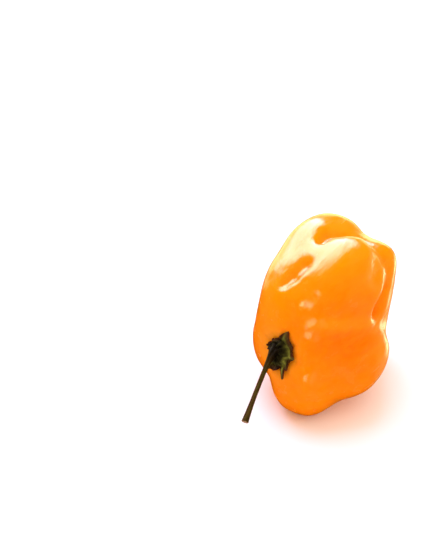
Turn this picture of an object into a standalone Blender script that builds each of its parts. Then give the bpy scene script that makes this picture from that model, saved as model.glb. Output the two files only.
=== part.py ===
"""A habanero pepper as picked, lying on its side: the pod, its calyx and its stalk.

The origin is on the surface that the pepper rests on, under the middle of the pod.
+Z is up and +Y runs along the pod, from the stalk to the blossom end. Lengths are in metres.
"""

import math

import bmesh
import bpy
import numpy as np
from mathutils import Vector

MM = 0.001

# The pod's middle above the surface: the skin below it is pressed flat where the pepper lies
POD_HEIGHT = 19.5 * MM

# Clearance between pieces that touch on the real pepper
GAP = 0.3 * MM

# Rolling of one lobe into the next: a larger value fills the furrows more
FURROW_FILL = 1.8 * MM

# How square a lobe is: 2 is an egg shape, and a larger value is nearer a rounded block
SQUARENESS = 2.4

# Each lobe is a blocky egg shape inside the pod, in millimetres and degrees: its middle from the pod's middle,
# its half sizes across, along and up, and how far its far end is raised and turned to the right
LOBES = {
    "heart": ((1.0, 1.0, -1.0), (13.0, 20.0, 14.5), (0, 0)),
    "belly": ((1.5, 1.0, -9.5), (10.5, 15.5, 10.5), (0, 0)),
    "right_shoulder": ((3.9, 0.0, 9.6), (8.8, 14.8, 10.4), (22, 18)),
    "right_foot": ((8.9, -3.1, -7.3), (10.4, 11.9, 8.8), (0, 0)),
    "front_foot": ((3.8, -12.3, -9.9), (8.0, 10.0, 10.1), (0, 0)),
    "left_shoulder": ((-4.4, -1.0, 5.4), (9.0, 13.6, 11.3), (14, 0)),
    "left_foot": ((-4.8, -4.0, -5.5), (9.5, 12.0, 10.5), (0, 0)),
    "crown": ((-6.0, 12.0, 8.5), (8.6, 12.5, 11.5), (0, 0)),
    "far_right": ((4.1, 13.0, 7.0), (8.3, 9.5, 9.2), (0, 0)),
    "far_foot": ((1.0, 11.0, -6.5), (10.5, 11.5, 10.5), (0, 0)),
}

# Furrows pressed into the skin, in millimetres: how deep, how wide, and the points that each runs through.
# One with a negative depth stands out as a ridge
FURROWS = {
    "left_of_right_shoulder": (1.0, 1.8, ((-5.0, -11.8, 13.9), (-3.7, -10.0, 15.6), (-2.4, -6.5, 17.6))),
    "crown_foot": (0.9, 3.0, ((-4.9, -8.6, 15.9), (-3.6, -5.6, 17.5))),
    "crown_dimple": (1.7, 1.6, ((-2.7, 3.2, 19.3), (-3.1, 6.2, 19.8))),
    "behind_right_shoulder": (2.0, 2.4, ((-0.5, 8.5, 19.2), (4.3, 11.8, 19.0), (11.0, 9.8, 15.2),
                                         (14.2, 7.5, 9.0), (14.8, 4.0, 5.0))),
    "right_notch": (1.1, 2.4, ((15.0, 4.0, 5.4), (14.6, 2.4, 5.0))),
    "crown_slope": (0.9, 6.0, ((-1.0, 13.0, 19.8), (3.0, 16.0, 17.8))),
    "right_shoulder_slope": (1.7, 3.8, ((10.3, 8.8, 19.5), (13.2, 5.0, 17.4), (14.0, 2.8, 16.2))),
    "above_right_foot": (1.0, 3.4, ((2.3, -18.0, 6.6), (10.0, -15.0, 4.0), (17.5, -3.0, 2.5), (16.0, 6.0, -2.0))),
    "shoulder_knob": (-0.5, 2.0, ((0.3, -14.0, 12.0), (3.3, -17.0, 7.0))),
    "crown_flank": (-1.1, 7.0, ((-12.8, -2.0, 12.5), (-12.0, 4.0, 16.5), (-9.5, 9.0, 19.5))),
    "far_right_corner": (-1.3, 4.5, ((12.0, 15.0, 15.0), (12.4, 14.8, 14.6))),
    "left_side": (1.0, 3.5, ((-14.0, -8.0, -2.0), (-14.5, 8.0, -1.0), (-6.0, 24.0, 0.0))),
    "blossom_end": (1.5, 3.5, ((0.5, 25.0, 0.0), (1.5, 25.0, 0.0))),
}

# The shallow hollow at the stalk end that holds the calyx: its middle (X and Z), radius and depth
STEM_X = -1.7 * MM
STEM_Z = -1.6 * MM
HOLLOW_RADIUS = 7.5 * MM
HOLLOW_DEPTH = 2.6 * MM

# The calyx: a cap with pointed teeth, thick round the stalk and thin at its rim
CALYX_RADIUS = 3.4 * MM
CALYX_RIM = 0.45 * MM
CALYX_THICKNESS = 1.0 * MM
KNOB_RADIUS = 2.6 * MM
KNOB_HEIGHT = 1.5 * MM
RING_DEPTH = 0.35 * MM

# Each tooth of the calyx: its direction round the stalk in degrees, from the pod's right towards its top,
# its length past the cap, and its half width in degrees
TEETH = ((72, 3.2, 30), (42, 2.0, 34), (6, 2.0, 32), (330, 1.2, 24), (312, 2.4, 13), (276, 0.9, 30), (252, 1.6, 24),
         (180, 0.4, 30))

# The stalk: its radius at the calyx, halfway and at the cut end, where the cut end is from the pod's middle,
# how far it rises before it bends, how it leans off the calyx's axis, and the share of its length over which
# its cross-section turns from flat on the calyx to square on the stalk
STALK_RADII = (1.7 * MM, 0.54 * MM, 0.82 * MM)
STALK_END = Vector((0.0, -36.5, -10.0)) * MM
STALK_RISE = 3.0 * MM
STALK_LEAN = Vector((0.2, 0.0, -0.7))
STALK_TURN = 0.25
STALK_RIBS = 5
RIB_DEPTH = 0.08

POD_GRID = 30
CALYX_SPOKES = 60
CALYX_RINGS = 9
STALK_SIDES = 20
STALK_RINGS = 22


def lobe_axes(raised, turned):
    """The three directions of a lobe whose far end is raised and turned to the right, as rows."""
    up, right = math.radians(raised), math.radians(turned)
    along = (math.sin(right) * math.cos(up), math.cos(right) * math.cos(up), math.sin(up))
    across = (math.cos(right), -math.sin(right), 0.0)
    return np.array((across, along, np.cross(across, along)))


def lobe_distance(points, middle, halves, tilt):
    """How far each point lies outside one blocky lobe; it is negative inside."""
    halves = np.array(halves) * MM
    scaled = np.abs((points - np.array(middle) * MM) @ lobe_axes(*tilt).T) / halves
    level = np.maximum((scaled ** SQUARENESS).sum(axis=1) ** (1 / SQUARENESS), 1e-6)
    slope = np.linalg.norm((scaled / level[:, None]) ** (SQUARENESS - 1) / halves, axis=1)
    return (level - 1.0) / np.maximum(slope, 1e-6)


def pod_distance(points):
    """Distance outside the pod before its furrows: all lobes rolled into one another."""
    total = np.zeros(len(points))
    for middle, halves, tilt in LOBES.values():
        total += np.exp(-lobe_distance(points, middle, halves, tilt) / FURROW_FILL)
    return -FURROW_FILL * np.log(total)


def lobed_lengths(rays):
    """Distance from the pod's middle to its lobes along each ray, found by halving the span."""
    near = np.full(len(rays), 2.0 * MM)
    far = np.full(len(rays), 45.0 * MM)
    for _ in range(30):
        middle = (near + far) / 2
        inside = pod_distance(rays * middle[:, None]) < 0
        near = np.where(inside, middle, near)
        far = np.where(inside, far, middle)
    return (near + far) / 2


def nearness(points, line, width):
    """How near each point is to a line through the given points: 1 on it, and 0 well past its width."""
    line = np.array(line) * MM
    total = np.zeros(len(points))
    for start, end in zip(line[:-1], line[1:]):
        span = end - start
        along = np.clip((points - start) @ span / (span @ span), 0, 1)
        off_line = np.linalg.norm(points - start - along[:, None] * span, axis=1)
        total += np.exp(-4 * (off_line / width) ** 2)
    return total ** 0.25


def furrow_dip(points):
    """How far the furrows and dimples sink the skin at each point."""
    return sum(depth * MM * nearness(points, line, width * MM) for depth, width, line in FURROWS.values())


def stem_hollow_dip(points):
    """How far the hollow round the stalk sinks the skin at each point of the stalk end."""
    off_axis = np.hypot(points[:, 0] - STEM_X, points[:, 2] - STEM_Z)
    share = np.clip(1 - off_axis / HOLLOW_RADIUS, 0, 1)
    return np.where(points[:, 1] < 0, HOLLOW_DEPTH * share * share * (3 - 2 * share), 0)


def pod_points(rays):
    """The skin along each ray, from the pod's middle."""
    lengths = lobed_lengths(rays)
    points = rays * lengths[:, None]
    lengths = lengths - furrow_dip(points) - stem_hollow_dip(points)
    return rays * lengths[:, None]


def cube_sphere(count):
    """A closed ball of unit rays from a cube whose sides are count by count squares."""
    mesh = bmesh.new()
    bmesh.ops.create_cube(mesh, size=2.0)
    bmesh.ops.subdivide_edges(mesh, edges=mesh.edges, cuts=count - 1, use_grid_fill=True)
    for vert in mesh.verts:
        vert.co = Vector([math.tan(c * math.pi / 4) for c in vert.co]).normalized()
    return mesh


def pod():
    """The fruit in one piece, pressed flat where it lies."""
    mesh = cube_sphere(POD_GRID)
    points = pod_points(np.array([vert.co for vert in mesh.verts]))
    points[:, 2] = np.maximum(points[:, 2] + POD_HEIGHT, 0.0)
    for vert, point in zip(mesh.verts, points):
        vert.co = point
    return mesh


def calyx_seat():
    """Where the calyx sits on the skin, and its axis away from the pod, its right and its top."""
    ray = Vector((STEM_X, -20 * MM, STEM_Z)).normalized()
    spread = 0.12
    around = [ray, ray + Vector((spread, 0, 0)), ray - Vector((spread, 0, 0)),
              ray + Vector((0, 0, spread)), ray - Vector((0, 0, spread))]
    middle, right, left, top, bottom = (Vector(p) for p in pod_points(np.array([r.normalized() for r in around])))
    axis = (right - left).cross(top - bottom).normalized()
    across = (Vector((1, 0, 0)) - axis * axis.x).normalized()
    return middle, axis, across, across.cross(axis) * -1


def calyx_reach(angle):
    """Distance from the stalk to the calyx's rim in one direction."""
    reach = CALYX_RADIUS
    for direction, length, half_width in TEETH:
        off = abs((math.degrees(angle) - direction + 180) % 360 - 180)
        reach += length * MM * max(0.0, 1 - off / half_width) ** 1.5
    return reach


def calyx_height(off_axis, reach):
    """Thickness of the calyx at a distance from the stalk: a ringed knob that falls away to a thin rim."""
    knob = KNOB_HEIGHT * math.exp(-(off_axis / KNOB_RADIUS) ** 4)
    ring = RING_DEPTH * math.exp(-((off_axis - 1.35 * KNOB_RADIUS) / (0.35 * MM)) ** 2)
    cap = CALYX_RIM + (CALYX_THICKNESS - CALYX_RIM) * (1 - (off_axis / reach) ** 2)
    return cap + knob - ring


def calyx():
    """The green toothed cap, its underside following the skin at a small clearance."""
    middle, axis, across, upward = calyx_seat()
    layers = [-n for n in range(CALYX_RINGS, 0, -1)] + list(range(1, CALYX_RINGS + 1))
    flats, lifts = [], []
    for layer in layers:
        share = 1 - (abs(layer) - 1) / (CALYX_RINGS - 1)
        for spoke in range(CALYX_SPOKES):
            angle = 2 * math.pi * spoke / CALYX_SPOKES
            reach = calyx_reach(angle)
            off_axis = max(share * reach, 0.25 * MM)
            flats.append((middle + (across * math.cos(angle) + upward * math.sin(angle)) * off_axis).normalized())
            lifts.append(GAP if layer < 0 else GAP + calyx_height(off_axis, reach))
    mesh = bmesh.new()
    verts = [mesh.verts.new(Vector(skin) + axis * lift + Vector((0, 0, POD_HEIGHT)))
             for skin, lift in zip(pod_points(np.array(flats)), lifts)]
    rings = [verts[n:n + CALYX_SPOKES] for n in range(0, len(verts), CALYX_SPOKES)]
    join_rings(mesh, rings)
    return mesh


def stalk_radius(share):
    """Radius of the stalk at a share of its length from the calyx: flared at both ends."""
    root, waist, tip = STALK_RADII
    return waist + (root - waist) * (1 - share) ** 5 + (tip - waist) * share ** 10


def stalk():
    """The ribbed green stalk, curving down from the calyx to its cut end."""
    middle, axis, _, _ = calyx_seat()
    lift = Vector((0, 0, POD_HEIGHT))
    root = middle + axis * (2.5 * GAP + CALYX_THICKNESS + KNOB_HEIGHT) + lift
    bend = root + (axis + STALK_LEAN).normalized() * STALK_RISE
    end = STALK_END + lift
    mesh = bmesh.new()
    rings = []
    for n in range(STALK_RINGS):
        share = n / (STALK_RINGS - 1)
        place = root * (1 - share) ** 2 + bend * 2 * share * (1 - share) + end * share ** 2
        along = ((bend - root) * (1 - share) + (end - bend) * share).normalized()
        along = axis.lerp(along, min(1.0, share / STALK_TURN)).normalized()
        side = along.cross(Vector((0, 0, 1))).normalized()
        top = side.cross(along)
        ring = []
        for k in range(STALK_SIDES):
            angle = 2 * math.pi * k / STALK_SIDES
            radius = stalk_radius(share) * (1 + RIB_DEPTH * math.cos(STALK_RIBS * angle))
            ring.append(mesh.verts.new(place + (side * math.cos(angle) + top * math.sin(angle)) * radius))
        rings.append(ring)
    join_rings(mesh, rings)
    return mesh


def join_rings(mesh, rings):
    """Join each ring of points to the next by faces, and close both ends."""
    for ring, following in zip(rings, rings[1:]):
        for n in range(len(ring)):
            after = (n + 1) % len(ring)
            mesh.faces.new((ring[n], ring[after], following[after], following[n]))
    mesh.faces.new(rings[0])
    mesh.faces.new(rings[-1])
    bmesh.ops.recalc_face_normals(mesh, faces=mesh.faces)


def finish(name, colour, roughness):
    """A Principled material with one colour and roughness."""
    material = bpy.data.materials.new(name)
    material.use_nodes = True
    shader = material.node_tree.nodes["Principled BSDF"]
    shader.inputs["Base Color"].default_value = (*colour, 1.0)
    shader.inputs["Roughness"].default_value = roughness
    shader.inputs["Metallic"].default_value = 0.0
    return material


def add_piece(name, mesh, material):
    """Put a finished mesh into the scene as a smooth named object."""
    data = bpy.data.meshes.new(name)
    mesh.to_mesh(data)
    mesh.free()
    data.shade_smooth()
    data.materials.append(material)
    piece = bpy.data.objects.new(name, data)
    bpy.context.scene.collection.objects.link(piece)
    return piece


def main():
    for old in list(bpy.data.objects):
        bpy.data.objects.remove(old)
    add_piece("pod", pod(), finish("orange_skin", (1.0, 0.235, 0.004), 0.2))
    add_piece("calyx", calyx(), finish("green_calyx", (0.055, 0.065, 0.014), 0.55))
    add_piece("stalk", stalk(), finish("brown_green_stalk", (0.085, 0.06, 0.025), 0.65))


if __name__ == "__main__":
    main()
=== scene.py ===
"""Finished look of a habanero pepper lying on its side: glossy lobed pod, toothed calyx and cut stalk."""

import logging
import math
from abc import ABC, abstractmethod
from dataclasses import dataclass, field
from enum import Enum
from typing import Callable, Iterable, Sequence, Union

import bmesh
import bpy
import numpy as np
from mathutils import Matrix, Vector, noise


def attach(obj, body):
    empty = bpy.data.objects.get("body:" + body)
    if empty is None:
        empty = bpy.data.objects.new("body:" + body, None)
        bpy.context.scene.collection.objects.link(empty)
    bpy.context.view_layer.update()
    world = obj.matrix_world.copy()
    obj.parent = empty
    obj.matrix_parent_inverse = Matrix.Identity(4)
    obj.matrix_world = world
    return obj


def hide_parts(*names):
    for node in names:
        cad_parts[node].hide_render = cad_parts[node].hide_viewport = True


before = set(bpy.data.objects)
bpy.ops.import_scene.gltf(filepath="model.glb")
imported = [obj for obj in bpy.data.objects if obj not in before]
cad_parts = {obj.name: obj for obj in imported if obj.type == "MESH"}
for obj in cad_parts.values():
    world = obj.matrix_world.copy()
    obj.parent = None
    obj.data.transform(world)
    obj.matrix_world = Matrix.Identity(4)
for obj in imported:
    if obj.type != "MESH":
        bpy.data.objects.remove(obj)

LOG = logging.getLogger("habanero")
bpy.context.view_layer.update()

MM = 0.001
TINY = 1e-6
UP = (0.0, 0.0, 1.0)
AHEAD = (0.0, 1.0, 0.0)
Point = tuple[float, float, float]
Colour = tuple[float, float, float]
Socket = bpy.types.NodeSocket
Value = Union[Socket, float]
Paint = Union[Socket, Colour]
Range = tuple[float, float]


class Node(Enum):
    """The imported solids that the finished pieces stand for."""

    POD = "pod"
    CALYX = "calyx"
    STALK = "stalk"


class Slot(Enum):
    """The record's material slots."""

    SKIN = "skin"
    CALYX = "calyx"
    STALK = "stalk"


# ---- Form of the pod ----


@dataclass(frozen=True)
class Lobe:
    """One blocky egg shape inside the pod, in millimetres from the pod's middle and in degrees."""

    middle: Point
    halves: Point
    raised: float = 0.0
    turned: float = 0.0
    squareness: float = 2.4

    def axes(self) -> np.ndarray:
        """The lobe's own directions.

        Returns:
            Its directions across, along and up, as rows.
        """
        up, right = math.radians(self.raised), math.radians(self.turned)
        along = (math.sin(right) * math.cos(up), math.cos(right) * math.cos(up), math.sin(up))
        across = (math.cos(right), -math.sin(right), 0.0)
        return np.array((across, along, np.cross(across, along)))

    def distance(self, points: np.ndarray) -> np.ndarray:
        """How far points lie outside the lobe.

        Args:
            points: places in metres from the pod's middle, one a row.

        Returns:
            The distance of each point in metres, negative inside.
        """
        halves = np.array(self.halves) * MM
        scaled = np.abs((points - np.array(self.middle) * MM) @ self.axes().T) / halves
        power = self.squareness
        level = np.maximum((scaled ** power).sum(axis=1) ** (1 / power), TINY)
        slope = np.linalg.norm((scaled / level[:, None]) ** (power - 1) / halves, axis=1)
        return (level - 1.0) / np.maximum(slope, TINY)


@dataclass(frozen=True)
class Furrow:
    """A furrow pressed into the skin along a line, in millimetres from the pod's middle.

    A negative depth stands out as a ridge, and a depth of 0 only marks the line.
    """

    depth: float
    width: float
    line: tuple[Point, ...]

    def nearness(self, points: np.ndarray) -> np.ndarray:
        """1 for points on the line, falling to 0 well past the width.

        Args:
            points: places in metres from the pod's middle, one a row.

        Returns:
            One number for each point, a little over 1 where two stretches of the line meet.
        """
        line = np.array(self.line) * MM
        total = np.zeros(len(points))
        power = 4  # high enough that one stretch runs into the next with hardly a swelling
        for start, end in zip(line[:-1], line[1:]):
            span = end - start
            along = np.clip((points - start) @ span / (span @ span), 0, 1)
            off_line = np.linalg.norm(points - start - along[:, None] * span, axis=1)
            total += np.exp(-power * (off_line / (self.width * MM)) ** 2)
        return total ** (1 / power)

    def dip(self, points: np.ndarray) -> np.ndarray:
        """How far the furrow sinks the skin at each point, in metres."""
        return self.depth * MM * self.nearness(points)


@dataclass(frozen=True)
class PodForm:
    """The pod's outside, as the solid has it: lobes rolled into one another, furrows and the stem hollow.

    Its height is that of its middle over the table. Its skin is looked for between its nearest and its
    farthest distance from the middle, by halving the span between them.
    """

    height: float = 19.5 * MM
    nearest: float = 2.0 * MM
    farthest: float = 45.0 * MM
    halvings: int = 24
    furrow_fill: float = 1.8 * MM
    hollow_middle: tuple[float, float] = (-1.7 * MM, -1.6 * MM)
    hollow_radius: float = 7.5 * MM
    hollow_depth: float = 2.6 * MM
    lobes: tuple[Lobe, ...] = (
        Lobe((1.0, 1.0, -1.0), (13.0, 20.0, 14.5)),
        Lobe((1.5, 1.0, -9.5), (10.5, 15.5, 10.5)),
        Lobe((3.9, 0.0, 9.6), (8.8, 14.8, 10.4), 22, 18),
        Lobe((8.9, -3.1, -7.3), (10.4, 11.9, 8.8)),
        Lobe((3.8, -12.3, -9.9), (8.0, 10.0, 10.1)),
        Lobe((-4.4, -1.0, 5.4), (9.0, 13.6, 11.3), 14, 0),
        Lobe((-4.8, -4.0, -5.5), (9.5, 12.0, 10.5)),
        Lobe((-6.0, 12.0, 8.5), (8.6, 12.5, 11.5)),
        Lobe((4.1, 13.0, 7.0), (8.3, 9.5, 9.2)),
        Lobe((1.0, 11.0, -6.5), (10.5, 11.5, 10.5)),
    )
    furrows: tuple[Furrow, ...] = (
        Furrow(1.0, 1.8, ((-5.0, -11.8, 13.9), (-3.7, -10.0, 15.6), (-2.4, -6.5, 17.6))),
        Furrow(0.9, 3.0, ((-4.9, -8.6, 15.9), (-3.6, -5.6, 17.5))),
        Furrow(1.7, 1.6, ((-2.7, 3.2, 19.3), (-3.1, 6.2, 19.8))),
        Furrow(2.0, 2.4, ((-0.5, 8.5, 19.2), (4.3, 11.8, 19.0), (11.0, 9.8, 15.2), (14.2, 7.5, 9.0),
                          (14.8, 4.0, 5.0))),
        Furrow(1.1, 2.4, ((15.0, 4.0, 5.4), (14.6, 2.4, 5.0))),
        Furrow(0.9, 6.0, ((-1.0, 13.0, 19.8), (3.0, 16.0, 17.8))),
        Furrow(1.7, 3.8, ((10.3, 8.8, 19.5), (13.2, 5.0, 17.4), (14.0, 2.8, 16.2))),
        Furrow(1.0, 3.4, ((2.3, -18.0, 6.6), (10.0, -15.0, 4.0), (17.5, -3.0, 2.5),
                          (16.0, 6.0, -2.0))),
        Furrow(-0.5, 2.0, ((0.3, -14.0, 12.0), (3.3, -17.0, 7.0))),
        Furrow(-1.1, 7.0, ((-12.8, -2.0, 12.5), (-12.0, 4.0, 16.5), (-9.5, 9.0, 19.5))),
        Furrow(-1.3, 4.5, ((12.0, 15.0, 15.0), (12.4, 14.8, 14.6))),
        Furrow(1.0, 3.5, ((-14.0, -8.0, -2.0), (-14.5, 8.0, -1.0), (-6.0, 24.0, 0.0))),
        Furrow(1.5, 3.5, ((0.5, 25.0, 0.0), (1.5, 25.0, 0.0))),
    )

    def outside(self, points: np.ndarray) -> np.ndarray:
        """Distance outside the rolled lobes, before the furrows.

        Args:
            points: places in metres from the pod's middle, one a row.

        Returns:
            The distance of each point in metres, negative inside.
        """
        total = np.zeros(len(points))
        for lobe in self.lobes:
            total += np.exp(-lobe.distance(points) / self.furrow_fill)
        return -self.furrow_fill * np.log(total)

    def lobed_lengths(self, rays: np.ndarray) -> np.ndarray:
        """Distance from the pod's middle to its lobes along each ray.

        Args:
            rays: unit directions from the pod's middle, one a row.

        Returns:
            One distance in metres for each ray.
        """
        near = np.full(len(rays), self.nearest)
        far = np.full(len(rays), self.farthest)
        for _ in range(self.halvings):
            middle = (near + far) / 2
            inside = self.outside(rays * middle[:, None]) < 0
            near = np.where(inside, middle, near)
            far = np.where(inside, far, middle)
        return (near + far) / 2

    def off_stem(self, points: np.ndarray) -> np.ndarray:
        """How far each point is from a line along the pod through the middle of its stem hollow."""
        return np.hypot(points[:, 0] - self.hollow_middle[0], points[:, 2] - self.hollow_middle[1])

    def hollow_dip(self, points: np.ndarray) -> np.ndarray:
        """How far the hollow round the stalk sinks the skin at each point."""
        share = np.clip(1 - self.off_stem(points) / self.hollow_radius, 0, 1)
        return np.where(points[:, 1] < 0, self.hollow_depth * share * share * (3 - 2 * share), 0)

    def lengths(self, rays: np.ndarray) -> np.ndarray:
        """Distance from the pod's middle to its skin along each ray.

        Args:
            rays: unit directions from the pod's middle, one a row.

        Returns:
            One distance in metres for each ray.
        """
        lengths = self.lobed_lengths(rays)
        points = rays * lengths[:, None]
        return lengths - sum(furrow.dip(points) for furrow in self.furrows) - self.hollow_dip(points)

    def skin(self, rays: np.ndarray) -> np.ndarray:
        """The skin along each ray, in metres from the pod's middle."""
        return rays * self.lengths(rays)[:, None]


@dataclass(frozen=True)
class Seat:
    """Where the calyx sits on the skin, with its axis away from the pod and its directions across and up."""

    middle: Vector
    axis: Vector
    across: Vector
    upward: Vector

    @classmethod
    def on(cls, form: PodForm, pod_end: float = -20 * MM, spread: float = 0.12) -> "Seat":
        """The seat at the pod's stem hollow.

        Args:
            form: the pod's outside.
            pod_end: how far along the pod its stem end is, from its middle.
            spread: how far off the middle ray the skin's slope is taken, as a share of its length.

        Returns:
            The seat, in metres from the pod's middle.
        """
        ray = Vector((form.hollow_middle[0], pod_end, form.hollow_middle[1])).normalized()
        right, up = Vector((spread, 0, 0)), Vector((0, 0, spread))
        rays = np.array([(ray + step).normalized() for step in (Vector(), right, -right, up, -up)])
        middle, right, left, top, bottom = (Vector(point) for point in form.skin(rays))
        axis = (right - left).cross(top - bottom).normalized()
        across = (Vector((1, 0, 0)) - axis * axis.x).normalized()
        return cls(middle, axis, across, axis.cross(across))


# ---- Finishes ----


@dataclass(frozen=True)
class Cloud:
    """Soft noise in a finish: its cycles to the millimetre, its detail and its roughness.

    What it gives goes smoothly from its least at its low level to its most at its high one.
    """

    scale: float
    detail: float
    roughness: float
    low: float
    high: float
    least: float = 0.0
    most: float = 1.0


@dataclass(frozen=True)
class Grain:
    """Soft bumps in a finish: their cycles to the millimetre, their detail, roughness and depth."""

    scale: float
    detail: float
    roughness: float
    depth: float


@dataclass(frozen=True)
class Specks:
    """Small flecks in a finish: how many to the millimetre, and how far out each one ends and is full."""

    scale: float
    edge: float
    heart: float


class Sheet:
    """A node sheet, with short calls for the nodes that the finishes and the room use."""

    def __init__(self, owner: Union[bpy.types.Material, bpy.types.World]) -> None:
        """Open the sheet of a material or of the world.

        Args:
            owner: what the sheet belongs to.
        """
        owner.use_nodes = True
        self.nodes = owner.node_tree.nodes
        self.links = owner.node_tree.links

    def join(self, value: Union[Value, Colour], socket: Socket) -> None:
        """Link a socket, or set a plain number or colour, on another socket.

        Args:
            value: a socket to link, or a number or colour to set.
            socket: the socket that takes it.
        """
        if isinstance(value, bpy.types.NodeSocket):
            self.links.new(value, socket)
        elif isinstance(value, (int, float)):
            socket.default_value = value
        else:
            socket.default_value = (*value, 1.0) if len(socket.default_value) == 4 else value

    def span(self, value: Socket, low: float, high: float, to_low: float = 0.0,
             to_high: float = 1.0) -> Socket:
        """A number moved smoothly from one range to another, and held at its ends.

        Args:
            value: the number.
            low: where the first range starts.
            high: where the first range ends.
            to_low: what low becomes.
            to_high: what high becomes.

        Returns:
            The moved number.
        """
        node = self.nodes.new("ShaderNodeMapRange")
        node.interpolation_type = "SMOOTHSTEP"
        for name, number in (("From Min", low), ("From Max", high), ("To Min", to_low), ("To Max", to_high)):
            node.inputs[name].default_value = number
        self.links.new(value, node.inputs["Value"])
        return node.outputs["Result"]

    def arithmetic(self, operation: str, first: Value, second: Value) -> Socket:
        """Two numbers joined by a Math node.

        Args:
            operation: the node's own name for what it does.
            first: the first number.
            second: the second number.

        Returns:
            The result.
        """
        node = self.nodes.new("ShaderNodeMath")
        node.operation = operation
        self.join(first, node.inputs[0])
        self.join(second, node.inputs[1])
        return node.outputs["Value"]

    def plus(self, first: Value, second: Value) -> Socket:
        """Two numbers added."""
        return self.arithmetic("ADD", first, second)

    def times(self, first: Value, second: Value) -> Socket:
        """Two numbers multiplied."""
        return self.arithmetic("MULTIPLY", first, second)

    def blend(self, share: Value, first: Paint, second: Paint) -> Socket:
        """A colour between two others.

        Args:
            share: how much there is of the second colour, from 0 to 1.
            first: the first colour.
            second: the second colour.

        Returns:
            The mixed colour.
        """
        node = self.nodes.new("ShaderNodeMix")
        node.data_type = "RGBA"
        self.join(share, node.inputs["Factor"])
        self.join(first, node.inputs["A"])
        self.join(second, node.inputs["B"])
        return node.outputs["Result"]


class FinishSheet(Sheet):
    """The sheet of a new material with one Principled shader."""

    def __init__(self, name: str) -> None:
        """Start the material.

        Args:
            name: the material's name.
        """
        self.material = bpy.data.materials.new(name)
        super().__init__(self.material)
        self.shader = self.nodes["Principled BSDF"]

    def place(self, stretch: Point = (1.0, 1.0, 1.0)) -> Socket:
        """Place on the piece in millimetres.

        Args:
            stretch: a factor for each axis, under 1 where a pattern is drawn out.

        Returns:
            The place.
        """
        coordinates = self.nodes.new("ShaderNodeTexCoord")
        mapping = self.nodes.new("ShaderNodeMapping")
        mapping.inputs["Scale"].default_value = [factor / MM for factor in stretch]
        self.links.new(coordinates.outputs["Object"], mapping.inputs["Vector"])
        return mapping.outputs["Vector"]

    def mark(self, name: str) -> Socket:
        """A number painted on the mesh by its maker.

        Args:
            name: the mark's name.

        Returns:
            The number.
        """
        node = self.nodes.new("ShaderNodeAttribute")
        node.attribute_name = name
        return node.outputs["Fac"]

    def noise(self, place: Socket, pattern: Union[Cloud, Grain]) -> Socket:
        """Plain soft noise from 0 to 1.

        Args:
            place: the place on the piece.
            pattern: its scale, detail and roughness.

        Returns:
            The noise.
        """
        node = self.nodes.new("ShaderNodeTexNoise")
        node.inputs["Scale"].default_value = pattern.scale
        node.inputs["Detail"].default_value = pattern.detail
        node.inputs["Roughness"].default_value = pattern.roughness
        self.links.new(place, node.inputs["Vector"])
        return node.outputs["Fac"]

    def cloud(self, place: Socket, cloud: Cloud) -> Socket:
        """Soft noise between a cloud's least and its most."""
        return self.span(self.noise(place, cloud), cloud.low, cloud.high, cloud.least, cloud.most)

    def cells(self, place: Socket, scale: float, feature: str = "F1") -> Socket:
        """Distance from the middles of scattered cells.

        Args:
            place: the place on the piece.
            scale: how many cells to the millimetre.
            feature: the Voronoi node's own name for the distance that it gives.

        Returns:
            The distance.
        """
        node = self.nodes.new("ShaderNodeTexVoronoi")
        node.feature = feature
        node.inputs["Scale"].default_value = scale
        self.links.new(place, node.inputs["Vector"])
        return node.outputs["Distance"]

    def specks(self, place: Socket, specks: Specks) -> Socket:
        """1 in the middle of small flecks, and 0 between them."""
        return self.span(self.cells(place, specks.scale), specks.edge, specks.heart)

    def tint(self, colour: Paint, mark: Value, strength: float, other: Colour) -> Socket:
        """A colour turned toward another where a mark is high.

        Args:
            colour: the colour so far.
            mark: where the other colour goes, from 0 to 1.
            strength: how much there is of the other colour where the mark is 1.
            other: the other colour.

        Returns:
            The new colour.
        """
        return self.blend(self.times(mark, strength), colour, other)

    def relief(self, height: Socket, depth: float, under: Union[Socket, None] = None) -> Socket:
        """A surface direction roughened by a height.

        Args:
            height: the height, from 0 to 1.
            depth: what a height of 1 is in metres.
            under: the direction that it roughens, where there is one already.

        Returns:
            The roughened direction.
        """
        node = self.nodes.new("ShaderNodeBump")
        node.inputs["Distance"].default_value = depth
        self.links.new(height, node.inputs["Height"])
        if under is not None:
            self.links.new(under, node.inputs["Normal"])
        return node.outputs["Normal"]

    def set(self, **values: Union[Value, Colour]) -> bpy.types.Material:
        """Set the shader's sockets by name, with underscores for spaces.

        Args:
            values: a number, a colour or a linked socket for each of the shader's sockets.

        Returns:
            The finished material.
        """
        for name, value in values.items():
            self.join(value, self.shader.inputs[name.replace("_", " ")])
        return self.material


class Finish(ABC):
    """A finish that can make its material."""

    @abstractmethod
    def material(self) -> bpy.types.Material:
        """The finish's material."""


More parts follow.
